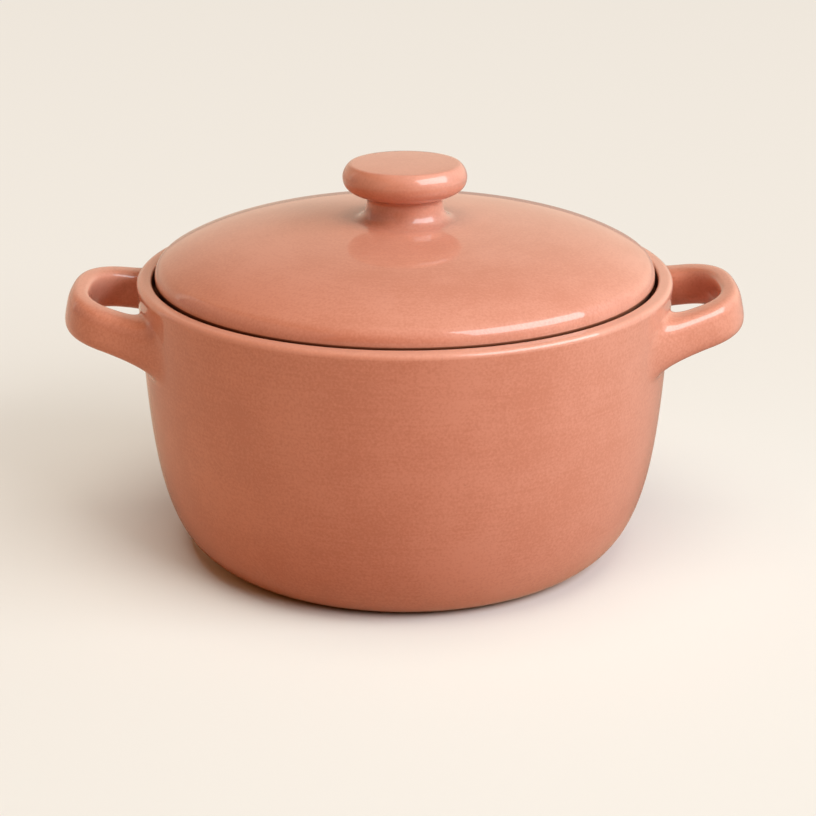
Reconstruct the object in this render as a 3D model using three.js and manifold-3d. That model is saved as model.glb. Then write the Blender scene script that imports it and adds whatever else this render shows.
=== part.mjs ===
// Round lidded casserole in glazed stoneware, in millimetres, +Z up.
// The origin is the middle of the foot, on the table, and the handles lie along X.
// The pot and its two loop handles are one fired unit, the lid and its knob another.
import * as THREE from 'three';
import { mergeVertices } from 'three/addons/utils/BufferGeometryUtils.js';
import Module from 'manifold-3d';

// Pot
const rimDiameter = 240;
const potHeight = 126.6;
const wallLean = 3.1; // degrees that the wall leans in below the rim
const wallRun = 58.5; // how far down the wall stays nearly straight
const footDiameter = 176;
const heelAngle = 11.5; // degrees at which the heel leaves the table
const heelRun = 30; // how far out the heel sweeps before it turns up
const wallThickness = 7;
const floorThickness = 8;
const footRingWidth = 8;
const footRecess = 2;
const footEdge = 0.8; // small bevel on the edges of the foot ring

// Rim, and the gallery inside it that the lid drops into
const rimWidth = 6.9;
const rimOuterRound = 2.6;
const rimInnerRound = 1.4;
const galleryDepth = 8;
const ledgeWidth = 9.1;
const ledgeThickness = 5;
const ledgeEdgeRound = 1.2;

// Lid
const lidSideClearance = 1.3;
const lidSeatGap = 0.3;
const lidLipHeight = 6.6; // seat up to the underside of the lip
const lidLipOverhang = 1.6; // how far the lip stands out past the flange below it
const lidLipRound = 1.2;
const lidShoulderInset = 3.9;
const lidShoulderRise = 7.4; // lip round up to where the dome begins
const lidSlope = 31; // degrees at which the dome leaves the shoulder
const lidDomeRise = 16.9;
const lidThickness = 6.5;
const lidSeatWidth = 8.4;
const lidSeatRound = 1;

// Knob, with heights measured up from the crown of the lid
const knobDiameter = 55.3;
const knobTopDiameter = 49;
const knobCrown = 0.5;
const knobHeight = 25.1;
const knobWidestHeight = 18.8;
const knobNeckDiameter = 33.8;
const knobNeckHeight = 8.4;
const knobUndercut = 8.4; // depth of the curve under the cap
const knobNeckRun = 3.4;
const knobRootDiameter = 48;
const knobRootEdge = 0.8; // height of the soft edge where the flare meets the lid

// Loop handles
const handleReach = 31.4; // how far the loop stands out past the rim
const handleSpan = 87; // across the outsides of the two legs
const handleDrop = 19.7; // rim down to the middle of a leg, at the wall
const handleRise = 12.5; // degrees that the loop tips up
const loopFullness = 2.67; // 2 is an ellipse, more is squarer
const legInset = 7.2; // how far inside the wall the loop's curve would end
const gripThickness = 9.6; // at the far end of the loop
const legThickness = 16; // near the wall
const gripHeight = 18;
const gripFullness = 3.2; // 2 is an ellipse, more is squarer

// Luted roots: each leg flares and runs smoothly out onto the wall
const rootRun = 15; // how far off the wall the flare begins
const rootSpreadOut = 14; // how far it spreads over the wall, away from the finger gap
const rootSpreadIn = 7;
const rootSpreadUp = 4;
const rootSpreadDown = 8;
const rootBurial = 6; // depth of clay that the wall trims away

// Gap left by the thin layer of slip that joins a luted piece
const slipGap = 0.3;

// Smoothness
const turnSegments = 64;
const knobSegments = 36;
const wallSteps = 11;
const domeSteps = 10;
const shoulderSteps = 5;
const roundSteps = 3;
const loopSteps = 22;
const rootSteps = 4;
const gripSides = 18;
const knobCurveSteps = 5;
const searchSteps = 50;
const leastSpacing = 0.01; // points nearer than this are taken as one

const rimRadius = rimDiameter / 2;
const footRadius = footDiameter / 2;
const rimInnerRadius = rimRadius - rimWidth;
const throatRadius = rimInnerRadius - ledgeWidth;
const ledgeZ = potHeight - galleryDepth;
const lidRadius = rimInnerRadius - lidSideClearance;
const lidSeatZ = ledgeZ + lidSeatGap;
const lidFlangeRadius = lidRadius - lidLipOverhang;
const lidLipZ = lidSeatZ + lidLipHeight;
const lidSpringZ = lidLipZ + lidLipRound;
const lidShoulderZ = lidSpringZ + lidShoulderRise;
const lidCrownZ = lidShoulderZ + lidDomeRise;

const lean = THREE.MathUtils.degToRad(wallLean);
const heel = THREE.MathUtils.degToRad(heelAngle);
const rise = THREE.MathUtils.degToRad(handleRise);
const domeSlope = Math.tan(THREE.MathUtils.degToRad(lidSlope));

// Fired glaze, a little lighter on the lid
const potColor = 0xc87658;
const lidColor = 0xd0836a;
const glazeRoughness = 0.22;

const point = (x, y) => new THREE.Vector2(x, y);

// The outer wall is one sweep, from the edge of the foot to the top of the rim.
const wallCurve = new THREE.CubicBezierCurve(
  point(footRadius, 0),
  point(footRadius + heelRun * Math.cos(heel), heelRun * Math.sin(heel)),
  point(rimRadius - wallRun * Math.sin(lean), potHeight - wallRun * Math.cos(lean)),
  point(rimRadius, potHeight),
);

// The inner wall is the same sweep, drawn in by the wall and raised by the floor.
const innerCurve = new THREE.CubicBezierCurve(
  point(throatRadius, ledgeZ - ledgeThickness),
  point(wallCurve.v2.x - wallThickness, wallCurve.v2.y),
  point(wallCurve.v1.x - wallThickness, floorThickness),
  point(footRadius - wallThickness, floorThickness),
);

// The lid bends over a tight shoulder and then runs up to the crown in one shallow sweep.
const shoulder = point(lidRadius - lidShoulderInset, lidShoulderZ);
const shoulderCurve = new THREE.QuadraticBezierCurve(
  point(lidRadius, lidSpringZ),
  point(lidRadius, lidShoulderZ - lidShoulderInset * domeSlope),
  shoulder,
);
const domeCurve = new THREE.QuadraticBezierCurve(
  shoulder,
  point(shoulder.x - lidDomeRise / domeSlope, lidCrownZ),
  point(0, lidCrownZ),
);

const hollowCurve = new THREE.CubicBezierCurve(
  point(0, lidCrownZ - lidThickness),
  point(domeCurve.v1.x, lidCrownZ - lidThickness),
  point(lidFlangeRadius - lidSeatWidth, lidShoulderZ - lidThickness / 2),
  point(lidFlangeRadius - lidSeatWidth, lidSeatZ),
);

// The place between two values where a test turns from true to false.
function turningPoint(from, to, test) {
  let before = from;
  let after = to;
  for (let step = 0; step < searchSteps; step += 1) {
    const middle = (before + after) / 2;
    if (test(middle)) before = middle;
    else after = middle;
  }
  return (before + after) / 2;
}

const wallAtHeight = (z) => turningPoint(0, 1, (t) => wallCurve.getPoint(t).y < z);
const domeAtRadius = (radius) => turningPoint(0, 1, (t) => domeCurve.getPoint(t).x > radius);

// A point on the outer wall, or off it by a distance, at an angle about the Z axis.
function onWall(angle, z, off = 0) {
  const radius = wallCurve.getPoint(wallAtHeight(z)).x + off;
  return new THREE.Vector3(radius * Math.cos(angle), radius * Math.sin(angle), z);
}

function pointsBetween(curve, from, to, steps) {
  return Array.from({ length: steps + 1 }, (_, i) => curve.getPoint(from + ((to - from) * i) / steps));
}

// A quarter round from one point to another, leaving along x ('flat') or along y ('steep').
function quarterRound(start, end, leaves) {
  const corner = leaves === 'flat' ? point(end.x, start.y) : point(start.x, end.y);
  const centre = start.clone().add(end).sub(corner);
  return Array.from({ length: roundSteps + 1 }, (_, i) => {
    const angle = ((Math.PI / 2) * i) / roundSteps;
    return centre
      .clone()
      .addScaledVector(start.clone().sub(centre), Math.cos(angle))
      .addScaledVector(end.clone().sub(centre), Math.sin(angle));
  });
}

// Turns an outline of (radius, height) points about the Z axis.
function turned(outline, segments) {
  const spaced = outline.filter((p, i) => i === 0 || p.distanceTo(outline[i - 1]) > leastSpacing);
  return new THREE.LatheGeometry(spaced, segments).rotateX(Math.PI / 2);
}

function potBody() {
  const roundStart = wallAtHeight(potHeight - rimOuterRound);
  const wallTop = wallCurve.getPoint(roundStart);
  const ringInner = footRadius - footRingWidth;
  return turned(
    [
      point(0, footRecess),
      point(ringInner - footEdge, footRecess),
      point(ringInner, 0),
      point(footRadius - footEdge, 0),
      ...pointsBetween(wallCurve, wallAtHeight(footEdge), roundStart, wallSteps),
      ...quarterRound(wallTop, point(wallTop.x - rimOuterRound, potHeight), 'steep'),
      ...quarterRound(
        point(rimInnerRadius + rimInnerRound, potHeight),
        point(rimInnerRadius, potHeight - rimInnerRound),
        'flat',
      ),
      point(rimInnerRadius, ledgeZ),
      ...quarterRound(
        point(throatRadius + ledgeEdgeRound, ledgeZ),
        point(throatRadius, ledgeZ - ledgeEdgeRound),
        'flat',
      ),
      ...pointsBetween(innerCurve, 0, 1, wallSteps),
      point(0, floorThickness),
    ],
    turnSegments,
  );
}

function lid() {
  return turned(
    [
      ...pointsBetween(hollowCurve, 0, 1, domeSteps),
      ...quarterRound(
        point(lidFlangeRadius - lidSeatRound, lidSeatZ),
        point(lidFlangeRadius, lidSeatZ + lidSeatRound),
        'flat',
      ),
      point(lidFlangeRadius, lidLipZ),
      ...quarterRound(point(lidRadius - lidLipRound, lidLipZ), point(lidRadius, lidSpringZ), 'flat'),
      ...pointsBetween(shoulderCurve, 0, 1, shoulderSteps),
      ...pointsBetween(domeCurve, 0, 1, domeSteps),
    ],
    turnSegments,
  );
}

// The knob's underside follows the crown of the lid, and its neck flares out to meet it.
function lidKnob() {
  const up = (radius, height) => point(radius, lidCrownZ + height);
  const capRadius = knobDiameter / 2;
  const topRadius = knobTopDiameter / 2;
  const neckRadius = knobNeckDiameter / 2;
  const rootStart = domeAtRadius(knobRootDiameter / 2);
  const underside = pointsBetween(domeCurve, 1, rootStart, roundSteps).map((p) => point(p.x, p.y + slipGap));
  const root = underside[underside.length - 1];
  const flareFoot = root.y + knobRootEdge;
  const flareTop = up(neckRadius, knobNeckHeight);
  const widest = up(capRadius, knobWidestHeight);
  const topEdge = up(topRadius, knobHeight - knobCrown);
  const edgeMiddle = point((capRadius + topRadius) / 2, (widest.y + topEdge.y) / 2);
  const crown = up(0, knobHeight);
  const outline = new THREE.Path();
  outline.moveTo(root.x, root.y);
  outline.lineTo(root.x, flareFoot);
  outline.quadraticCurveTo(neckRadius, flareFoot, flareTop.x, flareTop.y);
  const underCap = widest.y - knobUndercut;
  outline.bezierCurveTo(neckRadius, flareTop.y + knobNeckRun, capRadius, underCap, widest.x, widest.y);
  outline.bezierCurveTo(capRadius, edgeMiddle.y, edgeMiddle.x, topEdge.y, topEdge.x, topEdge.y);
  outline.quadraticCurveTo(topRadius / 2, crown.y, crown.x, crown.y);
  return turned([...underside, ...outline.getPoints(knobCurveSteps)], knobSegments);
}

// The middle line of a handle, level: a full, rounded loop that starts and ends inside the wall.
class LoopCurve extends THREE.Curve {
  constructor(start, end, halfSpan, fullness) {
    super();
    Object.assign(this, { start, end, halfSpan, fullness });
  }

  getPoint(t, target = new THREE.Vector3()) {
    const angle = Math.PI * (t - 0.5);
    const power = 2 / this.fullness;
    const out = Math.max(Math.cos(angle), 0) ** power;
    const across = Math.sign(t - 0.5) * Math.abs(Math.sin(angle)) ** power;
    return target.set(this.start + (this.end - this.start) * out, this.halfSpan * across, 0);
  }
}

// Joins equal rings of points into a closed skin, with a flat cap on each end.
function loft(rings) {
  const sides = rings[0].length;
  const index = [];
  for (let ring = 0; ring < rings.length - 1; ring += 1) {
    for (let side = 0; side < sides; side += 1) {
      const a = ring * sides + side;
      const b = ring * sides + ((side + 1) % sides);
      index.push(a, b + sides, b, a, a + sides, b + sides);
    }
  }
  const last = (rings.length - 1) * sides;
  for (let side = 1; side < sides - 1; side += 1) {
    index.push(0, side, side + 1);
    index.push(last, last + side + 1, last + side);
  }
  const geometry = new THREE.BufferGeometry().setFromPoints(rings.flat());
  geometry.setIndex(index);
  return geometry;
}

// One leg's root: from its last free ring, every line of the leg bends smoothly out onto the wall.
function rootRings(ring, inward) {
  const outside = (p) => Math.hypot(p.x, p.y) > onWall(0, p.z).x;
  const along = (p, distance) => p.clone().addScaledVector(inward, distance);
  const meets = ring.map((p) => along(p, turningPoint(0, rimRadius, (d) => outside(along(p, d)))));
  const middle = meets.reduce((sum, p) => sum.add(p), new THREE.Vector3()).divideScalar(meets.length);
  const middleAngle = Math.atan2(middle.y, middle.x);
  const landings = meets.map((meet) => {
    const radius = Math.hypot(meet.x, meet.y);
    const angle = Math.atan2(meet.y, meet.x);
    const offset = point((angle - middleAngle) * radius, meet.z - middle.z).normalize();
    const spreadSide = offset.x * middle.y > 0 ? rootSpreadOut : rootSpreadIn;
    const spreadHeight = offset.y > 0 ? rootSpreadUp : rootSpreadDown;
    return { angle: angle + (offset.x * spreadSide) / radius, z: meet.z + offset.y * spreadHeight };
  });
  const bends = ring.map((p, k) => {
    const landing = onWall(landings[k].angle, landings[k].z);
    return new THREE.QuadraticBezierCurve3(p, meets[k], landing).getPoints(rootSteps);
  });
  const rings = Array.from({ length: rootSteps }, (_, step) => bends.map((bend) => bend[step + 1]));
  return [...rings, landings.map(({ angle, z }) => onWall(angle, z, -rootBurial))];
}

// One loop handle on the +X side, before the wall trims its roots.
function handleLoop() {
  const legZ = potHeight - handleDrop;
  const wallRadius = onWall(0, legZ).x;
  const loopStart = wallRadius - legInset;
  const loopEnd = loopStart + (rimRadius + handleReach - gripThickness / 2 - loopStart) / Math.cos(rise);
  const loop = new LoopCurve(loopStart, loopEnd, (handleSpan - legThickness) / 2, loopFullness);
  const level = new THREE.Vector3(0, 0, 1);
  const hinge = new THREE.Vector3(wallRadius, 0, 0);
  const tip = (p) => p.applyAxisAngle(new THREE.Vector3(0, 1, 0), -rise);
  const place = (p) => tip(p.sub(hinge)).add(hinge).setZ(p.z + legZ);
  const free = turningPoint(0, 0.5, (t) => loop.getPoint(t).length() < wallRadius + rootRun);
  const power = 2 / gripFullness;
  const rings = Array.from({ length: loopSteps + 1 }, (_, i) => {
    const t = free + ((1 - 2 * free) * i) / loopSteps;
    const outward = loop.getTangent(t).cross(level).normalize();
    const thickness = THREE.MathUtils.lerp(legThickness, gripThickness, Math.sin(Math.PI * t) ** 2);
    return Array.from({ length: gripSides }, (_side, k) => {
      const angle = (2 * Math.PI * k) / gripSides;
      const across = Math.sign(Math.cos(angle)) * Math.abs(Math.cos(angle)) ** power;
      const height = Math.sign(Math.sin(angle)) * Math.abs(Math.sin(angle)) ** power;
      const p = loop.getPoint(t).addScaledVector(outward, (thickness / 2) * across);
      return place(p.addScaledVector(level, (gripHeight / 2) * height));
    });
  });
  const firstRoot = rootRings(rings[0], tip(loop.getTangent(free).negate()));
  const lastRoot = rootRings(rings[loopSteps], tip(loop.getTangent(1 - free)));
  return loft([...firstRoot.reverse(), ...rings, ...lastRoot]);
}

const wasm = await Module();
wasm.setup();

function solidOf(geometry) {
  const bare = geometry.clone();
  bare.deleteAttribute('normal');
  bare.deleteAttribute('uv');
  const merged = mergeVertices(bare, leastSpacing);
  const position = merged.getAttribute('position');
  const corners = merged.getIndex().array;
  const triVerts = [];
  for (let i = 0; i < corners.length; i += 3) {
    const [a, b, c] = corners.slice(i, i + 3);
    if (a !== b && b !== c && c !== a) triVerts.push(a, b, c);
  }
  return new wasm.Manifold(
    new wasm.Mesh({
      numProp: 3,
      vertProperties: new Float32Array(position.array),
      triVerts: new Uint32Array(triVerts),
    }),
  );
}

function geometryOf(solid) {
  const mesh = solid.getMesh();
  const geometry = new THREE.BufferGeometry();
  geometry.setAttribute('position', new THREE.BufferAttribute(mesh.vertProperties, 3));
  geometry.setIndex(new THREE.BufferAttribute(mesh.triVerts, 1));
  geometry.computeVertexNormals();
  return geometry;
}

// A handle's roots are trimmed to the outer wall, less the layer of slip that joins them.
function handle() {
  const wall = pointsBetween(wallCurve, 0, 1, wallSteps).map((p) => point(p.x + slipGap, p.y));
  const core = turned([point(0, 0), ...wall, point(0, potHeight)], turnSegments);
  return geometryOf(solidOf(handleLoop()).subtract(solidOf(core)));
}

const glaze = (color) => new THREE.MeshStandardMaterial({ color, roughness: glazeRoughness, metalness: 0 });

function piece(name, geometry, color) {
  const mesh = new THREE.Mesh(geometry, glaze(color));
  mesh.name = name;
  return mesh;
}

const potUnit = new THREE.Group();
potUnit.add(piece('pot_body', potBody(), potColor));
const handleRight = piece('handle_right', handle(), potColor);
const handleLeft = piece('handle_left', handle(), potColor);
handleLeft.rotation.z = Math.PI;
potUnit.add(handleRight, handleLeft);

const lidUnit = new THREE.Group();
lidUnit.add(piece('lid', lid(), lidColor));
lidUnit.add(piece('lid_knob', lidKnob(), lidColor));

const casserole = new THREE.Group();
casserole.add(potUnit, lidUnit);

export default casserole;
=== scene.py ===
import math

import bpy
import numpy as np
from mathutils import Matrix, Vector


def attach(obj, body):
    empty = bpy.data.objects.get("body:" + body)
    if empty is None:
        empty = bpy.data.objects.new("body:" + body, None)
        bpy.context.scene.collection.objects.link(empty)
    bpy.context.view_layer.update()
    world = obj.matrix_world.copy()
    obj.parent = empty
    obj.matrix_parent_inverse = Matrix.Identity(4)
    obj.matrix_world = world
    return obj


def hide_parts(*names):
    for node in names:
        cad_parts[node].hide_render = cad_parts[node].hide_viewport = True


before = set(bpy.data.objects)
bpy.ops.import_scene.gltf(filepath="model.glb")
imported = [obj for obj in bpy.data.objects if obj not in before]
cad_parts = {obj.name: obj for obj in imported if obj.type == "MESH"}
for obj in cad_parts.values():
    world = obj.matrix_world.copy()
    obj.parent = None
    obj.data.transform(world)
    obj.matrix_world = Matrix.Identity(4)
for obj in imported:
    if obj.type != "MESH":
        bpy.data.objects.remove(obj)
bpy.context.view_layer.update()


# Pot body
# The bowl is thrown in stoneware and turned when leather-hard: a wall that leans in a little, a round heel
# on a foot ring, and a ledge inside the rim for the lid. It is dipped in glaze, and the foot ring and the
# gallery around the ledge are wiped bare, so that nothing sticks to them in the kiln. The dark bare clay in
# the gallery also serves as painted shade for the deep gap around the lid.
MM = 0.001
RIM_RADIUS = 120.0 * MM
POT_HEIGHT = 126.6 * MM
WALL_LEAN = math.radians(3.1)
WALL_RUN = 58.5 * MM
WALL_THICKNESS = 7.0 * MM
FLOOR_THICKNESS = 8.0 * MM
HEEL_ANGLE = math.radians(11.5)
HEEL_RUN = 30.0 * MM
HEEL_GLAZE_START = 0.006
FOOT_RADIUS = 88.0 * MM
FOOT_RING_WIDTH = 8.0 * MM
FOOT_RECESS = 2.0 * MM
FOOT_EDGE = 0.8 * MM
RECESS_BARE = 0.5
RIM_WIDTH = 6.9 * MM
RIM_OUTER_ROUND = 2.6 * MM
RIM_OUTER_LEAN = 0.1 * MM
RIM_OUTER_THIN = 0.7
RIM_INNER_ROUND = 1.4 * MM
RIM_INNER_THIN = 0.8
GALLERY_DEPTH = 8.0 * MM
GALLERY_FILLET = 1.2 * MM
GALLERY_BARE = 0.4 * MM
LEDGE_WIDTH = 9.1 * MM
LEDGE_THICKNESS = 5.0 * MM
LEDGE_ROUND = 1.2 * MM
POT_TURN_STEPS = 192
WALL_STEPS = 96
INSIDE_STEPS = 72
FLOOR_STEPS = 20
ROUND_STEPS = 10
SAME_POINT = 0.02 * MM
WELD_DISTANCE = 0.001 * MM

RIM_INNER_RADIUS = RIM_RADIUS - RIM_WIDTH
THROAT_RADIUS = RIM_INNER_RADIUS - LEDGE_WIDTH
LEDGE_Z = POT_HEIGHT - GALLERY_DEPTH


def level(start, end, z):
    """A flat line from one radius to another, as a function of 0 to 1."""
    return lambda t: np.array((start + (end - start) * t, z))


def bezier(a, b, c, d):
    """A cubic curve from a to d, drawn towards b and c, as a function of 0 to 1."""
    a, b, c, d = (np.array(p, float) for p in (a, b, c, d))

    def at(t):
        s = 1 - t
        return s**3 * a + 3 * s * s * t * b + 3 * s * t * t * c + t**3 * d

    return at


def along(curve, start, end, steps):
    """Points on a curve, both ends included."""
    return [curve(start + (end - start) * i / steps) for i in range(steps + 1)]


def rounded(start, corner, end):
    """Points of a round that leaves start and reaches end, both towards the same corner."""
    circle_pull = 0.5523
    start, corner, end = (np.array(p, float) for p in (start, corner, end))
    curve = bezier(start, start + circle_pull * (corner - start), end + circle_pull * (corner - end), end)
    return along(curve, 0, 1, ROUND_STEPS)


def turning_point(low, high, test, steps=50):
    """The value between low and high where a test turns from true to false."""
    for _ in range(steps):
        middle = (low + high) / 2
        low, high = (middle, high) if test(middle) else (low, middle)
    return (low + high) / 2


def glazed(points, thin=0.0):
    """A stretch of an outline under glaze, which may run thin over an edge."""
    return points, 0.0, thin


def wiped(points, bare=1.0):
    """A stretch of an outline where the glaze is wiped off the clay, wholly or in part. Its dark clay also
    paints the shade in the gap around the lid.
    """
    return points, bare, 0.0


def turned_outline(name, *stretches):
    """A line of points to turn, with marks for bare clay, which also stands for painted shade in the gap
    around the lid, and for thin glaze.
    """
    points, bare, thin = [], [], []
    for stretch, stretch_bare, stretch_thin in stretches:
        for p in stretch:
            if points and math.dist(p, points[-1]) < SAME_POINT:
                continue
            points.append(p)
            bare.append(stretch_bare)
            thin.append(stretch_thin)
    mesh = bpy.data.meshes.new(name)
    links = [(i, i + 1) for i in range(len(points) - 1)]
    mesh.from_pydata([(p[0], 0, p[1]) for p in points], links, [])
    mesh.attributes.new("bare_clay_and_gap_shade", "FLOAT", "POINT").data.foreach_set("value", bare)
    mesh.attributes.new("thin_glaze", "FLOAT", "POINT").data.foreach_set("value", thin)
    return mesh


def feed(tree, socket, value):
    """Sets a socket to a plain value, or links another socket to it."""
    if isinstance(value, bpy.types.NodeSocket):
        tree.links.new(value, socket)
    else:
        socket.default_value = value


def maths(tree, operation, *values, kind="ShaderNodeMath"):
    """A sum in a node tree, from numbers and sockets."""
    node = tree.nodes.new(kind)
    node.operation = operation
    for socket, value in zip(node.inputs, values):
        feed(tree, socket, value)
    return node.outputs[0]


def wheel_tree():
    """A node tree that turns an outline about the Z axis into one closed skin, which keeps its marks."""
    tree = bpy.data.node_groups.new("turned_on_the_wheel", "GeometryNodeTree")
    sockets = tree.interface
    sockets.new_socket("Outline", in_out="INPUT", socket_type="NodeSocketGeometry")
    sockets.new_socket("Turn Steps", in_out="INPUT", socket_type="NodeSocketInt")
    sockets.new_socket("Finish", in_out="INPUT", socket_type="NodeSocketMaterial")
    sockets.new_socket("Skin", in_out="OUTPUT", socket_type="NodeSocketGeometry")
    nodes, link = tree.nodes, tree.links.new
    given = nodes.new("NodeGroupInput").outputs
    outline, steps, finish = given["Outline"], given["Turn Steps"], given["Finish"]

    whole = "FunctionNodeIntegerMath"
    count = nodes.new("GeometryNodeAttributeDomainSize")
    link(outline, count.inputs["Geometry"])
    columns = maths(tree, "ADD", steps, 1, kind=whole)
    grid = nodes.new("GeometryNodeMeshGrid")
    link(count.outputs["Point Count"], grid.inputs["Vertices X"])
    link(columns, grid.inputs["Vertices Y"])
    index = nodes.new("GeometryNodeInputIndex").outputs[0]
    row = maths(tree, "DIVIDE_FLOOR", index, columns, kind=whole)
    column = maths(tree, "MODULO", index, columns, kind=whole)

    def on_outline(value, data_type):
        """What the outline holds at the row that a point of the skin comes from."""
        node = nodes.new("GeometryNodeSampleIndex")
        node.data_type = data_type
        node.domain = "POINT"
        link(outline, node.inputs["Geometry"])
        link(value, node.inputs["Value"])
        link(row, node.inputs["Index"])
        return node.outputs["Value"]

    drawn = on_outline(nodes.new("GeometryNodeInputPosition").outputs[0], "FLOAT_VECTOR")
    angle = maths(tree, "MULTIPLY", maths(tree, "DIVIDE", column, steps), 2 * math.pi)
    swing = nodes.new("ShaderNodeVectorRotate")
    swing.rotation_type = "Z_AXIS"
    link(drawn, swing.inputs["Vector"])
    link(angle, swing.inputs["Angle"])
    place = nodes.new("GeometryNodeSetPosition")
    link(grid.outputs["Mesh"], place.inputs["Geometry"])
    link(swing.outputs[0], place.inputs["Position"])
    skin = place.outputs["Geometry"]
    for mark in ("bare_clay_and_gap_shade", "thin_glaze"):
        read = nodes.new("GeometryNodeInputNamedAttribute")
        read.data_type = "FLOAT"
        read.inputs["Name"].default_value = mark
        store = nodes.new("GeometryNodeStoreNamedAttribute")
        store.data_type = "FLOAT"
        store.domain = "POINT"
        store.inputs["Name"].default_value = mark
        link(skin, store.inputs["Geometry"])
        link(on_outline(read.outputs["Attribute"], "FLOAT"), store.inputs["Value"])
        skin = store.outputs["Geometry"]
    close = nodes.new("GeometryNodeMergeByDistance")
    close.inputs["Distance"].default_value = WELD_DISTANCE
    smooth = nodes.new("GeometryNodeSetShadeSmooth")
    real = nodes.new("GeometryNodeRealizeInstances")
    coat = nodes.new("GeometryNodeSetMaterial")
    link(finish, coat.inputs["Material"])
    for node in (close, smooth, real, coat):
        link(skin, node.inputs["Geometry"])
        skin = node.outputs["Geometry"]
    link(skin, nodes.new("NodeGroupOutput").inputs["Skin"])
    return tree


def turned(name, outline, turn_steps, finish):
    """One turned piece: the wheel tree run on an outline and kept as a plain mesh."""
    blank = bpy.data.objects.new(name, outline)
    bpy.context.scene.collection.objects.link(blank)
    wheel = blank.modifiers.new("wheel", "NODES")
    wheel.node_group = WHEEL
    for socket in WHEEL.interface.items_tree:
        if socket.name == "Turn Steps":
            wheel[socket.identifier] = turn_steps
        if socket.name == "Finish":
            wheel[socket.identifier] = finish
    evaluated = blank.evaluated_get(bpy.context.evaluated_depsgraph_get())
    mesh = bpy.data.meshes.new_from_object(evaluated)
    blank.modifiers.remove(wheel)
    blank.data = mesh
    bpy.data.meshes.remove(outline)
    mesh.name = name
    return blank


BARE_CLAY_AND_GAP_SHADE_COLOR = (0.15, 0.04, 0.016, 1)
SPECK_COLOR = (0.22, 0.07, 0.035, 1)
MOTTLE_SCALES = {"Cloud Scale": 26, "Grain Scale": 900, "Speck Scale": 300, "Streak Scale": 900}
CLOUD_DETAIL = 4
CLOUD_ROUGHNESS = 0.65
CLOUD_WEIGHT = 1.1
GRAIN_DETAIL = 3
GRAIN_WEIGHT = 1.1
STREAK_DETAIL = 2
STREAK_WEIGHT = 0.35
STREAK_WAVER = 4.0 * MM
STREAK_HUB = 2.0 * MM
DEEP_END = 1.06
BODY_END = 1.48
SPECK_SHARPNESS = 7.0
SPECK_RARITY = 0.8
SPECK_SHARE = 0.25
THIN_SHARE = 0.45
UNDERGLAZE_ROUGHNESS = 0.48
GRAIN_ROUGHNESS = 0.08
BARE_ROUGHNESS = 0.25
COAT_ROUGHNESS = 0.025
COAT_IOR = 1.55
RIPPLE_STRENGTH = 0.12
RIPPLE_DEPTH = 0.06 * MM


def mixed(tree, share, first, second):
    """Two colours mixed by a share from 0 to 1."""
    node = tree.nodes.new("ShaderNodeMix")
    node.data_type = "RGBA"
    feed(tree, node.inputs[0], share)
    feed(tree, node.inputs[6], first)
    feed(tree, node.inputs[7], second)
    return node.outputs[2]


def ramp(tree, value, start, end, interpolation="LINEAR"):
    """A share that rises from 0 to 1 while a value goes from start to end."""
    node = tree.nodes.new("ShaderNodeMapRange")
    node.interpolation_type = interpolation
    node.inputs["From Min"].default_value = start
    node.inputs["From Max"].default_value = end
    feed(tree, node.inputs["Value"], value)
    return node.outputs[0]


def mottle_group():
    """What the kiln leaves in the glaze: soft clouds, fine grain, rare specks and faint turning streaks."""
    group = bpy.data.node_groups.new("kiln_mottle", "ShaderNodeTree")
    sockets = group.interface
    sockets.new_socket("Place", in_out="INPUT", socket_type="NodeSocketVector")
    for scale in MOTTLE_SCALES:
        sockets.new_socket(scale, in_out="INPUT", socket_type="NodeSocketFloat")
    for effect in ("Clouds", "Grain", "Specks", "Streaks"):
        sockets.new_socket(effect, in_out="OUTPUT", socket_type="NodeSocketFloat")
    nodes, link = group.nodes, group.links.new
    given = nodes.new("NodeGroupInput").outputs
    made = nodes.new("NodeGroupOutput").inputs

    def noise(place, scale, detail, roughness=0.5):
        node = nodes.new("ShaderNodeTexNoise")
        link(place, node.inputs["Vector"])
        link(given[scale], node.inputs["Scale"])
        node.inputs["Detail"].default_value = detail
        node.inputs["Roughness"].default_value = roughness
        return node.outputs[0]

    place = given["Place"]
    link(noise(place, "Cloud Scale", CLOUD_DETAIL, CLOUD_ROUGHNESS), made["Clouds"])
    link(noise(place, "Grain Scale", GRAIN_DETAIL), made["Grain"])

    cells = nodes.new("ShaderNodeTexVoronoi")
    link(place, cells.inputs["Vector"])
    link(given["Speck Scale"], cells.inputs["Scale"])
    draw = nodes.new("ShaderNodeSeparateColor")
    link(cells.outputs["Color"], draw.inputs[0])
    chosen = maths(group, "GREATER_THAN", draw.outputs[0], SPECK_RARITY)
    off_middle = maths(group, "MULTIPLY", cells.outputs["Distance"], SPECK_SHARPNESS)
    dot = maths(group, "MAXIMUM", maths(group, "SUBTRACT", 1.0, off_middle), 0.0)
    link(maths(group, "MULTIPLY", dot, chosen), made["Specks"])

    split = nodes.new("ShaderNodeSeparateXYZ")
    link(place, split.inputs[0])
    x, y, z = split.outputs
    squares = maths(group, "ADD", maths(group, "MULTIPLY", x, x), maths(group, "MULTIPLY", y, y))
    radius = maths(group, "SQRT", squares)
    reach = maths(group, "MAXIMUM", radius, STREAK_HUB)
    around = nodes.new("ShaderNodeCombineXYZ")
    for part, socket in zip((x, y), around.inputs):
        link(maths(group, "MULTIPLY", maths(group, "DIVIDE", part, reach), STREAK_WAVER), socket)
    link(maths(group, "ADD", radius, z), around.inputs["Z"])
    link(noise(around.outputs[0], "Streak Scale", STREAK_DETAIL), made["Streaks"])
    return group


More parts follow.
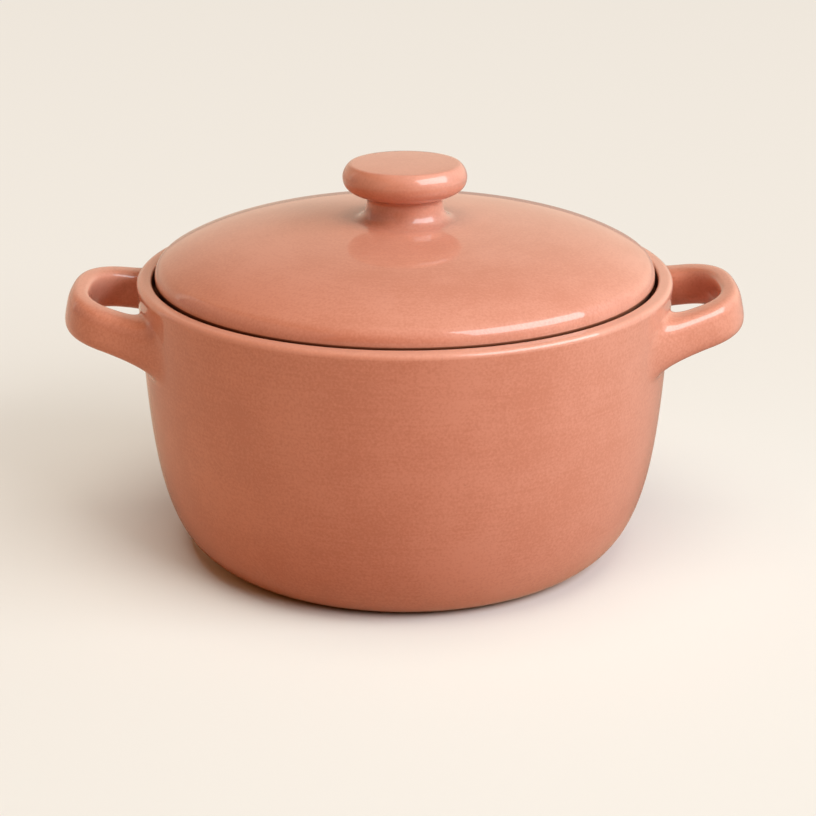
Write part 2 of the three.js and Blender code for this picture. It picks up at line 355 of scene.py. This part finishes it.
def glaze(name, body_color, pale_color, deep_color):
    """A glossy fired glaze over dark iron-rich clay, bare where the clay was wiped. The dark bare clay also
    serves as painted shade in the gap around the lid.
    """
    material = bpy.data.materials.new(name)
    material.use_nodes = True
    tree = material.node_tree
    nodes, link = tree.nodes, tree.links.new
    mottle = nodes.new("ShaderNodeGroup")
    mottle.node_tree = MOTTLE
    link(nodes.new("ShaderNodeTexCoord").outputs["Object"], mottle.inputs["Place"])
    for scale, value in MOTTLE_SCALES.items():
        mottle.inputs[scale].default_value = value
    clouds, grain, specks, streaks = mottle.outputs

    def mark(attribute):
        node = nodes.new("ShaderNodeAttribute")
        node.attribute_name = attribute
        return node.outputs["Fac"]

    bare, thin = mark("bare_clay_and_gap_shade"), mark("thin_glaze")
    uneven = maths(tree, "MULTIPLY", clouds, CLOUD_WEIGHT)
    uneven = maths(tree, "ADD", uneven, maths(tree, "MULTIPLY", grain, GRAIN_WEIGHT))
    uneven = maths(tree, "ADD", uneven, maths(tree, "MULTIPLY", streaks, STREAK_WEIGHT))
    color = mixed(tree, ramp(tree, uneven, DEEP_END, BODY_END), deep_color, body_color)
    color = mixed(tree, maths(tree, "MULTIPLY", thin, THIN_SHARE), color, pale_color)
    color = mixed(tree, maths(tree, "MULTIPLY", specks, SPECK_SHARE), color, SPECK_COLOR)
    # Dark clay where the glaze is wiped, which is also painted shade in the gap around the lid.
    color = mixed(tree, bare, color, BARE_CLAY_AND_GAP_SHADE_COLOR)
    dull = maths(tree, "ADD", UNDERGLAZE_ROUGHNESS, maths(tree, "MULTIPLY", grain, GRAIN_ROUGHNESS))
    dull = maths(tree, "ADD", dull, maths(tree, "MULTIPLY", bare, BARE_ROUGHNESS))
    ripple = nodes.new("ShaderNodeBump")
    ripple.inputs["Strength"].default_value = RIPPLE_STRENGTH
    ripple.inputs["Distance"].default_value = RIPPLE_DEPTH
    link(maths(tree, "MULTIPLY", maths(tree, "ADD", streaks, grain), 0.5), ripple.inputs["Height"])
    shader = nodes["Principled BSDF"].inputs
    link(color, shader["Base Color"])
    link(dull, shader["Roughness"])
    link(maths(tree, "SUBTRACT", 1.0, bare), shader["Coat Weight"])
    shader["Coat Roughness"].default_value = COAT_ROUGHNESS
    shader["Coat IOR"].default_value = COAT_IOR
    link(ripple.outputs[0], shader["Normal"])
    return material


WHEEL = wheel_tree()
MOTTLE = mottle_group()
pot_glaze = glaze(
    "pot_glaze",
    body_color=(0.588, 0.215, 0.133, 1),
    pale_color=(0.66, 0.29, 0.2, 1),
    deep_color=(0.512, 0.17, 0.097, 1),
)

heel_pull = (FOOT_RADIUS + HEEL_RUN * math.cos(HEEL_ANGLE), HEEL_RUN * math.sin(HEEL_ANGLE))
wall_pull = (RIM_RADIUS - WALL_RUN * math.sin(WALL_LEAN), POT_HEIGHT - WALL_RUN * math.cos(WALL_LEAN))
wall_curve = bezier((FOOT_RADIUS, 0), heel_pull, wall_pull, (RIM_RADIUS, POT_HEIGHT))
floor_radius = FOOT_RADIUS - WALL_THICKNESS
inner_curve = bezier(
    (THROAT_RADIUS, LEDGE_Z - LEDGE_THICKNESS),
    (wall_pull[0] - WALL_THICKNESS, wall_pull[1]),
    (heel_pull[0] - WALL_THICKNESS, FLOOR_THICKNESS),
    (floor_radius, FLOOR_THICKNESS),
)


def wall_at_height(z):
    """Where on the wall curve a height lies, from 0 to 1."""
    return turning_point(0, 1, lambda t: wall_curve(t)[1] < z)


ring_inner = FOOT_RADIUS - FOOT_RING_WIDTH
recess_radius = ring_inner - 2 * FOOT_EDGE
heel_start = wall_at_height(FOOT_EDGE)
heel_at = wall_curve(heel_start)
rim_start = wall_at_height(POT_HEIGHT - RIM_OUTER_ROUND)
rim_at = wall_curve(rim_start)
rim_inner_z = POT_HEIGHT - RIM_INNER_ROUND
pot_outline = turned_outline(
    "pot_outline",
    glazed(along(level(0, recess_radius, FOOT_RECESS), 0, 1, FLOOR_STEPS)),
    wiped(
        rounded((recess_radius, FOOT_RECESS), (ring_inner, FOOT_RECESS), (ring_inner, FOOT_EDGE)),
        RECESS_BARE,
    ),
    wiped(rounded((ring_inner, FOOT_EDGE), (ring_inner, 0), (ring_inner + FOOT_EDGE, 0))),
    wiped(rounded((FOOT_RADIUS - 2 * FOOT_EDGE, 0), (FOOT_RADIUS, 0), heel_at)),
    glazed(along(wall_curve, heel_start + HEEL_GLAZE_START, rim_start, WALL_STEPS)),
    glazed(
        rounded(rim_at, (rim_at[0] + RIM_OUTER_LEAN, POT_HEIGHT), (rim_at[0] - RIM_OUTER_ROUND, POT_HEIGHT)),
        RIM_OUTER_THIN,
    ),
    glazed(
        rounded(
            (RIM_INNER_RADIUS + RIM_INNER_ROUND, POT_HEIGHT),
            (RIM_INNER_RADIUS, POT_HEIGHT),
            (RIM_INNER_RADIUS, rim_inner_z),
        ),
        RIM_INNER_THIN,
    ),
    # The gallery wall below the rim's round is bare dark clay, which also serves as painted shade in the gap
    # around the lid.
    wiped([(RIM_INNER_RADIUS, rim_inner_z - GALLERY_BARE)]),
    wiped(
        rounded(
            (RIM_INNER_RADIUS, LEDGE_Z + GALLERY_FILLET),
            (RIM_INNER_RADIUS, LEDGE_Z),
            (RIM_INNER_RADIUS - GALLERY_FILLET, LEDGE_Z),
        )
    ),
    wiped(
        rounded(
            (THROAT_RADIUS + LEDGE_ROUND, LEDGE_Z),
            (THROAT_RADIUS, LEDGE_Z),
            (THROAT_RADIUS, LEDGE_Z - LEDGE_ROUND),
        )
    ),
    glazed(along(inner_curve, 0, 1, INSIDE_STEPS)),
    glazed(along(level(floor_radius, 0, FLOOR_THICKNESS), 0, 1, FLOOR_STEPS)),
)
pot = turned("pot_bowl", pot_outline, POT_TURN_STEPS, pot_glaze)
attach(pot, "pot")
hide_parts("pot_body")


# Loop handles
# Each is a roll of clay pressed to a rounded oblong section and bent to a full loop. Its two ends are flared,
# luted to the wall with slip and smoothed out over it by thumb, so under the glaze no seam shows.
HANDLE_REACH = 31.4 * MM
HANDLE_SPAN = 87.0 * MM
HANDLE_DROP = 19.7 * MM
HANDLE_RISE = math.radians(12.5)
LOOP_FULLNESS = 2.67
LEG_INSET = 7.2 * MM
LEG_THICKNESS = 16.0 * MM
GRIP_THICKNESS = 9.6 * MM
GRIP_HEIGHT = 18.0 * MM
GRIP_FULLNESS = 3.2
ROOT_RUN = 15.0 * MM
ROOT_SPREAD_OUT = 14.0 * MM
ROOT_SPREAD_IN = 7.0 * MM
ROOT_SPREAD_UP = 4.0 * MM
ROOT_SPREAD_DOWN = 8.0 * MM
ROOT_BURIAL = 1.5 * MM
LOOP_STEPS = 88
ROOT_STEPS = 26
GRIP_SIDES = 64
WALL_SAMPLES = 2000

wall_line = np.array(along(wall_curve, 0, 1, WALL_SAMPLES))


def wall_radius(z):
    """The pot's outer radius at a height."""
    return np.interp(z, wall_line[:, 1], wall_line[:, 0])


def to_wall(p):
    """A point as (angle about Z, height, distance off the wall)."""
    return np.array((math.atan2(p[1], p[0]), p[2], math.hypot(p[0], p[1]) - wall_radius(p[2])))


def from_wall(q):
    """A point from (angle about Z, height, distance off the wall)."""
    reach = wall_radius(q[1]) + q[2]
    return np.array((reach * math.cos(q[0]), reach * math.sin(q[0]), q[1]))


def power(value, exponent):
    """A power that keeps its sign, for full, rounded outlines."""
    return math.copysign(abs(value) ** exponent, value)


leg_z = POT_HEIGHT - HANDLE_DROP
leg_wall = wall_radius(leg_z)
loop_start = leg_wall - LEG_INSET
loop_reach = (RIM_RADIUS + HANDLE_REACH - GRIP_THICKNESS / 2 - loop_start) / math.cos(HANDLE_RISE)
loop_half = (HANDLE_SPAN - LEG_THICKNESS) / 2
hinge = np.array((leg_wall, 0, 0))
tilt = np.array(Matrix.Rotation(-HANDLE_RISE, 3, "Y"))


def loop_line(t):
    """The middle line of the loop, level, from one end to the other."""
    angle = math.pi * (t - 0.5)
    out = max(math.cos(angle), 0) ** (2 / LOOP_FULLNESS)
    across = power(math.sin(angle), 2 / LOOP_FULLNESS)
    return np.array((loop_start + loop_reach * out, loop_half * across, 0))


def loop_direction(t):
    """The way that the middle line runs."""
    small = 1e-4
    step = loop_line(t + small) - loop_line(t - small)
    return step / np.linalg.norm(step)


def grip_ring(t):
    """One ring of the grip's skin, tipped up and in its place."""
    outward = np.cross(loop_direction(t), (0, 0, 1))
    thickness = LEG_THICKNESS + (GRIP_THICKNESS - LEG_THICKNESS) * math.cos(math.pi * (t - 0.5)) ** 2
    ring = []
    for k in range(GRIP_SIDES):
        turn = 2 * math.pi * k / GRIP_SIDES
        across = thickness / 2 * power(math.cos(turn), 2 / GRIP_FULLNESS)
        height = GRIP_HEIGHT / 2 * power(math.sin(turn), 2 / GRIP_FULLNESS)
        p = loop_line(t) + outward * across + np.array((0, 0, height))
        ring.append(tilt @ (p - hinge) + hinge + np.array((0, 0, leg_z)))
    return ring


def root_rings(ring, inward):
    """The flared root: every line of the leg runs down onto the wall and lies flat on it where it ends."""
    meets = []
    for p in ring:
        far = turning_point(0, RIM_RADIUS, lambda d: to_wall(p + inward * d)[2] > 0)
        meets.append(to_wall(p + inward * far))
    middle = np.mean(meets, axis=0)
    rings = [[] for _ in range(ROOT_STEPS + 1)]
    for p, meet in zip(ring, meets):
        reach = wall_radius(meet[1])
        way = np.array(((meet[0] - middle[0]) * reach, meet[1] - middle[1]))
        way /= np.linalg.norm(way)
        side = ROOT_SPREAD_OUT if way[0] * middle[0] > 0 else ROOT_SPREAD_IN
        up = ROOT_SPREAD_UP if way[1] > 0 else ROOT_SPREAD_DOWN
        landing = meet + np.array((way[0] * side / reach, way[1] * up, 0))
        start = to_wall(p)
        for i in range(ROOT_STEPS):
            t = (i + 1) / ROOT_STEPS
            rings[i].append(from_wall((1 - t) ** 2 * start + 2 * t * (1 - t) * meet + t * t * landing))
        rings[-1].append(from_wall(landing - np.array((0, 0, ROOT_BURIAL))))
    return rings


root_end = turning_point(0, 0.5, lambda t: np.linalg.norm(loop_line(t)) < leg_wall + ROOT_RUN)
grip_rings = along(grip_ring, root_end, 1 - root_end, LOOP_STEPS)
first_root = root_rings(grip_rings[0], tilt @ -loop_direction(root_end))
last_root = root_rings(grip_rings[-1], tilt @ loop_direction(1 - root_end))
handle_rings = first_root[::-1] + grip_rings + last_root


def handle_mesh(name, side):
    """The whole loop with both roots, on the +X side (1) or turned round to the -X side (-1)."""
    points = np.array(handle_rings).reshape(-1, 3) * np.array((side, side, 1))
    faces = []
    for r in range(len(handle_rings) - 1):
        for k in range(GRIP_SIDES):
            a, b = r * GRIP_SIDES + k, r * GRIP_SIDES + (k + 1) % GRIP_SIDES
            faces.append((a, a + GRIP_SIDES, b + GRIP_SIDES, b))
    faces.append(tuple(range(GRIP_SIDES)))
    faces.append(tuple(reversed(range(len(points) - GRIP_SIDES, len(points)))))
    mesh = bpy.data.meshes.new(name)
    mesh.from_pydata(points.tolist(), [], faces)
    mesh.polygons.foreach_set("use_smooth", [True] * len(faces))
    landings = {1, len(handle_rings) - 2}
    for edge in mesh.edges:
        a, b = (v // GRIP_SIDES for v in edge.vertices)
        edge.use_edge_sharp = a == b and a in landings
    mesh.materials.append(pot_glaze)
    return mesh


for handle_name, node, side in (("loop_right", "handle_right", 1), ("loop_left", "handle_left", -1)):
    handle = bpy.data.objects.new(handle_name, handle_mesh(handle_name, side))
    bpy.context.scene.collection.objects.link(handle)
    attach(handle, "pot")
    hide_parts(node)


# Lid
# A shallow dome turned from the same clay, hollow below, with a plain round edge that drops inside the rim.
# It rests on the ledge by its own weight. Its flat seat, its side and its lip are wiped bare of glaze; the
# dark clay of the side and lip also paints the shade in the gap between lid and rim.
LID_SIDE_CLEARANCE = 1.3 * MM
LID_SEAT_GAP = 0.3 * MM
LID_SEAT_WIDTH = 8.4 * MM
LID_SEAT_ROUND = 1.0 * MM
LID_LIP_HEIGHT = 6.6 * MM
LID_LIP_OVERHANG = 1.6 * MM
LID_LIP_FILLET = 0.5 * MM
LID_LIP_ROUND = 1.2 * MM
LID_LIP_INSET = 0.96 * MM
LID_SHOULDER_INSET = 3.9 * MM
LID_SHOULDER_RISE = 7.4 * MM
LID_SLOPE = math.radians(31.0)
LID_DOME_RISE = 16.9 * MM
LID_THICKNESS = 6.5 * MM
LID_TURN_STEPS = 192
LID_HOLLOW_STEPS = 64
LID_SHOULDER_STEPS = 30
LID_DOME_STEPS = 90


def bend(start, corner, end):
    """A curve that leaves start and reaches end, both towards the same corner, as a function of 0 to 1."""
    start, corner, end = (np.array(p, float) for p in (start, corner, end))
    return lambda t: (1 - t) ** 2 * start + 2 * t * (1 - t) * corner + t * t * end


lid_radius = RIM_INNER_RADIUS - LID_SIDE_CLEARANCE
flange_radius = lid_radius - LID_LIP_OVERHANG
seat_radius = flange_radius - LID_SEAT_WIDTH
seat_z = LEDGE_Z + LID_SEAT_GAP
lip_z = seat_z + LID_LIP_HEIGHT
spring_z = lip_z + LID_LIP_ROUND
shoulder_at = (lid_radius - LID_SHOULDER_INSET, spring_z + LID_SHOULDER_RISE)
crown_z = shoulder_at[1] + LID_DOME_RISE
edge_corner = (lid_radius, shoulder_at[1] - LID_SHOULDER_INSET * math.tan(LID_SLOPE))
dome_corner = (shoulder_at[0] - LID_DOME_RISE / math.tan(LID_SLOPE), crown_z)
shoulder_curve = bend((lid_radius, spring_z), edge_corner, shoulder_at)
dome_curve = bend(shoulder_at, dome_corner, (0, crown_z))
hollow_curve = bezier(
    (0, crown_z - LID_THICKNESS),
    (dome_corner[0], crown_z - LID_THICKNESS),
    (seat_radius, shoulder_at[1] - LID_THICKNESS / 2),
    (seat_radius, seat_z + LID_SEAT_ROUND),
)
lid_glaze = glaze(
    "lid_glaze",
    body_color=(0.575, 0.213, 0.135, 1),
    pale_color=(0.65, 0.29, 0.21, 1),
    deep_color=(0.51, 0.173, 0.103, 1),
)
lid_outline = turned_outline(
    "lid_outline",
    glazed(along(hollow_curve, 0, 1, LID_HOLLOW_STEPS)),
    wiped(
        rounded(
            (seat_radius, seat_z + LID_SEAT_ROUND),
            (seat_radius, seat_z),
            (seat_radius + LID_SEAT_ROUND, seat_z),
        )
    ),
    wiped(
        rounded(
            (flange_radius - LID_SEAT_ROUND, seat_z),
            (flange_radius, seat_z),
            (flange_radius, seat_z + LID_SEAT_ROUND),
        )
    ),
    # The lip and the side up to the shoulder are bare dark clay, which also paints the shade in the gap under
    # the lid's edge.
    wiped(
        rounded(
            (flange_radius, lip_z - 2 * LID_LIP_FILLET),
            (flange_radius, lip_z),
            (flange_radius + LID_LIP_FILLET, lip_z),
        )
    ),
    wiped(rounded((lid_radius - LID_LIP_INSET, lip_z), (lid_radius, lip_z), (lid_radius, spring_z))),
    glazed(along(shoulder_curve, 0, 1, LID_SHOULDER_STEPS)),
    glazed(along(dome_curve, 0, 1, LID_DOME_STEPS)),
)
lid = turned("lid_dome", lid_outline, LID_TURN_STEPS, lid_glaze)
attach(lid, "lid_unit")
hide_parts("lid")


# Lid knob
# A mushroom turned from one lump of clay, with a nearly flat cap and a short neck. It is luted to the crown
# of the lid, and its flared root is smoothed out onto the dome.
KNOB_RADIUS = 27.65 * MM
KNOB_HEIGHT = 25.1 * MM
KNOB_WIDEST = 18.8 * MM
KNOB_TOP_RADIUS = 24.5 * MM
KNOB_TOP_PULL = 0.6 * KNOB_TOP_RADIUS
KNOB_TOP_THIN = 0.2
KNOB_CROWN = 0.5 * MM
KNOB_CROWN_PULL = KNOB_TOP_RADIUS / 3
KNOB_EDGE_RUN = 1.3 * MM
KNOB_EDGE_SLOPE = np.array((2.4 * MM, -1.8 * MM))
KNOB_EDGE_THIN = 0.4
KNOB_UNDERCUT = 8.4 * MM
KNOB_NECK_RADIUS = 16.9 * MM
KNOB_NECK_HEIGHT = 8.4 * MM
KNOB_NECK_RUN = 3.4 * MM
KNOB_ROOT_RADIUS = 24.0 * MM
KNOB_ROOT_BURIAL = 1.0 * MM
KNOB_TURN_STEPS = 144
KNOB_NECK_STEPS = 24
KNOB_UNDERCUT_STEPS = 36
KNOB_CAP_STEPS = 20

root_at = dome_curve(turning_point(0, 1, lambda t: dome_curve(t)[0] > KNOB_ROOT_RADIUS))
knob_top_z = crown_z + KNOB_HEIGHT
neck_at = np.array((KNOB_NECK_RADIUS, crown_z + KNOB_NECK_HEIGHT))
widest_at = np.array((KNOB_RADIUS, crown_z + KNOB_WIDEST))
top_at = np.array((KNOB_TOP_RADIUS, knob_top_z - KNOB_CROWN))
buried_line = level(0, root_at[0] - KNOB_ROOT_BURIAL, root_at[1] - KNOB_ROOT_BURIAL)
neck_curve = bend(root_at, (KNOB_NECK_RADIUS, root_at[1]), neck_at)
undercut_curve = bezier(neck_at, neck_at + (0, KNOB_NECK_RUN), widest_at - (0, KNOB_UNDERCUT), widest_at)
edge_curve = bezier(widest_at, widest_at + (0, KNOB_EDGE_RUN), top_at + KNOB_EDGE_SLOPE, top_at)
cap_curve = bezier(top_at, (KNOB_TOP_PULL, knob_top_z), (KNOB_CROWN_PULL, knob_top_z), (0, knob_top_z))
knob_outline = turned_outline(
    "knob_outline",
    glazed(along(buried_line, 0, 1, FLOOR_STEPS)),
    glazed(along(neck_curve, 0, 1, KNOB_NECK_STEPS)),
    glazed(along(undercut_curve, 0, 1, KNOB_UNDERCUT_STEPS)),
    glazed(along(edge_curve, 0, 1, KNOB_CAP_STEPS), KNOB_EDGE_THIN),
    glazed(along(cap_curve, 0, 1, KNOB_CAP_STEPS), KNOB_TOP_THIN),
)
knob = turned("knob_turned", knob_outline, KNOB_TURN_STEPS, lid_glaze)
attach(knob, "lid_unit")
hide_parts("lid_knob")


# Table
# A pale, warm tabletop that runs on past the view. Seen by the camera, its lit paint fades into a plain
# colour away from the pot, and carries a painted contact shadow, dark and warm, where the foot touches it.
# The light that it throws back onto the pot is painted bounce light: the colour that it shows the pot is
# warmer than the paint, and stronger on the shaded side and close to the foot.
TABLE_RADIUS = 9.0
TABLE_SIDES = 63
TABLE_COLOR = (0.77, 0.75, 0.75, 1)
TABLE_ROUGHNESS = 0.9
TABLE_SPECULAR = 0.1
TABLE_PAINTED_CONTACT_SHADOW_COLOR = (0.22, 0.09, 0.03, 1)
TABLE_PAINTED_SHADOW_END = FOOT_RADIUS + 9 * MM
TABLE_BOUNCE_COLOR = (0.35, 0.18, 0.12, 1)
TABLE_STRONG_BOUNCE_COLOR = (0.66, 0.45, 0.32, 1)
TABLE_SHADE_FROM = 0.0
TABLE_SHADE_FULL = -0.2
TABLE_NEAR_BOUNCE_END = FOOT_RADIUS + 40 * MM
TABLE_PLAIN_COLOR = (0.896, 0.831, 0.745, 1)
TABLE_PLAIN_SHARE = 0.9
TABLE_PLAIN_FROM = 0.1
TABLE_PLAIN_FULL = 0.53
TABLE_GLOSS_SHARE = 0.4

table_paint = bpy.data.materials.new("table_paint")
table_paint.use_nodes = True
tree = table_paint.node_tree
nodes, link = tree.nodes, tree.links.new
ray = nodes.new("ShaderNodeLightPath").outputs
place = nodes.new("ShaderNodeTexCoord").outputs["Object"]
split = nodes.new("ShaderNodeSeparateXYZ")
link(place, split.inputs[0])
length = nodes.new("ShaderNodeVectorMath")
length.operation = "LENGTH"
link(place, length.inputs[0])
off_middle = length.outputs["Value"]

# Painted bounce light: towards the pot the table's colour is warmer, and brighter on the shaded side and near
# the foot.
shaded = ramp(tree, split.outputs["X"], TABLE_SHADE_FROM, TABLE_SHADE_FULL)
near = ramp(tree, off_middle, TABLE_NEAR_BOUNCE_END, FOOT_RADIUS)
bounce = mixed(tree, maths(tree, "MAXIMUM", shaded, near), TABLE_BOUNCE_COLOR, TABLE_STRONG_BOUNCE_COLOR)
# Painted contact shadow: the paint that the camera sees turns dark and warm close to the foot.
past_painted_shadow = ramp(tree, off_middle, FOOT_RADIUS, TABLE_PAINTED_SHADOW_END, "SMOOTHSTEP")
seen_paint = mixed(tree, past_painted_shadow, TABLE_PAINTED_CONTACT_SHADOW_COLOR, TABLE_COLOR)
matt = nodes["Principled BSDF"]
matt.inputs["Roughness"].default_value = TABLE_ROUGHNESS
matt.inputs["Specular IOR Level"].default_value = TABLE_SPECULAR
link(mixed(tree, ray["Is Camera Ray"], bounce, seen_paint), matt.inputs["Base Color"])

plain = nodes.new("ShaderNodeEmission")
plain.inputs["Color"].default_value = TABLE_PLAIN_COLOR
fade = maths(tree, "SQRT", ramp(tree, off_middle, TABLE_PLAIN_FROM, TABLE_PLAIN_FULL))
mirrored = maths(tree, "MULTIPLY", ray["Is Glossy Ray"], TABLE_GLOSS_SHARE)
seen = maths(tree, "MAXIMUM", ray["Is Camera Ray"], mirrored)
both = nodes.new("ShaderNodeMixShader")
link(maths(tree, "MULTIPLY", seen, maths(tree, "MULTIPLY", fade, TABLE_PLAIN_SHARE)), both.inputs[0])
link(matt.outputs[0], both.inputs[1])
link(plain.outputs[0], both.inputs[2])
link(both.outputs[0], nodes["Material Output"].inputs["Surface"])

turns = [2 * math.pi * i / TABLE_SIDES for i in range(TABLE_SIDES)]
table_edge = [(TABLE_RADIUS * math.cos(turn), TABLE_RADIUS * math.sin(turn), 0) for turn in turns]
table_mesh = bpy.data.meshes.new("table")
table_mesh.from_pydata(table_edge, [], [tuple(range(TABLE_SIDES))])
table_mesh.materials.append(table_paint)
table = bpy.data.objects.new("table", table_mesh)
bpy.context.scene.collection.objects.link(table)


# Screen
# A tall, warm cloth on a wide curve behind the pot, brightest at its foot. It is mirrored in the glaze and
# lights the back a little. The camera looks through it, at the plain colour that the table fades into.
SCREEN_RADIUS = 6.0
SCREEN_HEIGHT = 7.0
SCREEN_BEARINGS = range(30, 151, 10)
SCREEN_COLOR = (1.0, 0.76, 0.58, 1)
SCREEN_STRENGTH = 0.91

screen_cloth = bpy.data.materials.new("screen_cloth")
screen_cloth.use_nodes = True
tree = screen_cloth.node_tree
nodes, link = tree.nodes, tree.links.new
split = nodes.new("ShaderNodeSeparateXYZ")
link(nodes.new("ShaderNodeTexCoord").outputs["Object"], split.inputs[0])
low_down = ramp(tree, split.outputs["Z"], SCREEN_HEIGHT, 0, "SMOOTHSTEP")
glow = nodes.new("ShaderNodeEmission")
glow.inputs["Color"].default_value = SCREEN_COLOR
link(maths(tree, "MULTIPLY", low_down, SCREEN_STRENGTH), glow.inputs["Strength"])
link(glow.outputs[0], nodes["Material Output"].inputs["Surface"])

turns = [math.radians(bearing) for bearing in SCREEN_BEARINGS]
foot_line = [(SCREEN_RADIUS * math.cos(turn), SCREEN_RADIUS * math.sin(turn), 0) for turn in turns]
top_line = [(x, y, SCREEN_HEIGHT) for x, y, _ in foot_line]
posts = len(turns)
screen_faces = [(i, i + 1, i + 1 + posts, i + posts) for i in range(posts - 1)]
screen_mesh = bpy.data.meshes.new("screen")
screen_mesh.from_pydata(foot_line + top_line, [], screen_faces)
screen_mesh.materials.append(screen_cloth)
screen = bpy.data.objects.new("screen", screen_mesh)
screen.visible_camera = False
bpy.context.scene.collection.objects.link(screen)

world = bpy.data.worlds.new("studio")
bpy.context.scene.world = world
world.use_nodes = True
backdrop = world.node_tree.nodes["Background"]
backdrop.inputs["Color"].default_value = TABLE_PLAIN_COLOR
ray = world.node_tree.nodes.new("ShaderNodeLightPath").outputs
world.node_tree.links.new(ray["Is Camera Ray"], backdrop.inputs["Strength"])


# Lamps
# Rectangular softboxes around the pot. The two gleams are only mirrored in the glaze, and the four fills only
# light it. The cool light from the side is kept off the table, so that the shadow stays warm.
LAMP_DISTANCE = 3.0
KEY_DISTANCE = 1.2


def softbox(name, bearing, height, width, tall, glow, color, roll=0, distance=LAMP_DISTANCE):
    """A lamp that faces the pot, by its bearing right of the camera, its height, its size and its roll, as
    angles in degrees seen from the pot, and by how brightly its face glows."""
    bearing, height = math.radians(bearing), math.radians(height)
    lamp = bpy.data.lights.new(name, "AREA")
    lamp.shape = "RECTANGLE"
    lamp.size = 2 * distance * math.tan(math.radians(width) / 2)
    lamp.size_y = 2 * distance * math.tan(math.radians(tall) / 2)
    lamp.energy = glow * math.pi * lamp.size * lamp.size_y
    lamp.color = color
    light = bpy.data.objects.new(name, lamp)
    flat = distance * math.cos(height)
    away = Vector((flat * math.sin(bearing), -flat * math.cos(bearing), distance * math.sin(height)))
    light.location = away + Vector((0, 0, POT_HEIGHT))
    facing = (-away).to_track_quat("-Z", "Y").to_matrix()
    light.rotation_euler = (facing @ Matrix.Rotation(math.radians(roll), 3, "Z")).to_euler()
    bpy.context.scene.collection.objects.link(light)
    return light


key_gleam = softbox(
    "key_gleam", bearing=62, height=40, width=52, tall=32, glow=4.8, color=(0.78, 0.92, 1.0),
    roll=-14, distance=KEY_DISTANCE,
)
left_gleam = softbox(
    "left_gleam", bearing=-80, height=22, width=88, tall=44, glow=0.37, color=(0.82, 0.94, 0.96)
)
side_light = softbox(
    "side_light", bearing=95, height=30, width=50, tall=30, glow=8.6, color=(0.24, 0.66, 1.0)
)
right_light = softbox(
    "right_light", bearing=57, height=28, width=50, tall=24, glow=11.3, color=(0.96, 1.0, 0.99)
)
left_light = softbox(
    "left_light", bearing=-75, height=15, width=70, tall=36, glow=1.2, color=(1.0, 0.5, 0.15)
)
ceiling_light = softbox(
    "ceiling", bearing=0, height=78, width=40, tall=40, glow=4.1, color=(1.0, 0.93, 0.77)
)
for gleam in (key_gleam, left_gleam):
    gleam.visible_diffuse = False
for fill in (side_light, right_light, left_light, ceiling_light):
    fill.visible_glossy = False
not_side_lit = bpy.data.collections.new("not_side_lit")
not_side_lit.objects.link(table)
not_side_lit.collection_objects[0].light_linking.link_state = "EXCLUDE"
side_light.light_linking.receiver_collection = not_side_lit


# Camera
# A short telephoto view from the front and from above the rim, turned a touch to the right, as a
# product photograph is taken.
CAMERA_DISTANCE = 0.835
CAMERA_HEIGHT = 0.3681
CAMERA_PITCH = math.radians(20.23)
CAMERA_TURN = math.radians(0.9)
CAMERA_SIDESTEP = 0.0014
CAMERA_SENSOR = 36.0
CAMERA_LENS = 85.0
CAMERA_REACH = 50.0

lens = bpy.data.cameras.new("camera")
lens.sensor_width = CAMERA_SENSOR
lens.lens = CAMERA_LENS
lens.clip_end = CAMERA_REACH
camera = bpy.data.objects.new("camera", lens)
right = Vector((math.cos(CAMERA_TURN), -math.sin(CAMERA_TURN), 0))
ahead = Vector((math.sin(CAMERA_TURN), math.cos(CAMERA_TURN), 0))
camera.location = right * CAMERA_SIDESTEP - ahead * CAMERA_DISTANCE + Vector((0, 0, CAMERA_HEIGHT))
camera.rotation_euler = (math.pi / 2 - CAMERA_PITCH, 0, -CAMERA_TURN)
bpy.context.scene.collection.objects.link(camera)
bpy.context.scene.camera = camera
bpy.context.scene.view_settings.view_transform = "Standard"
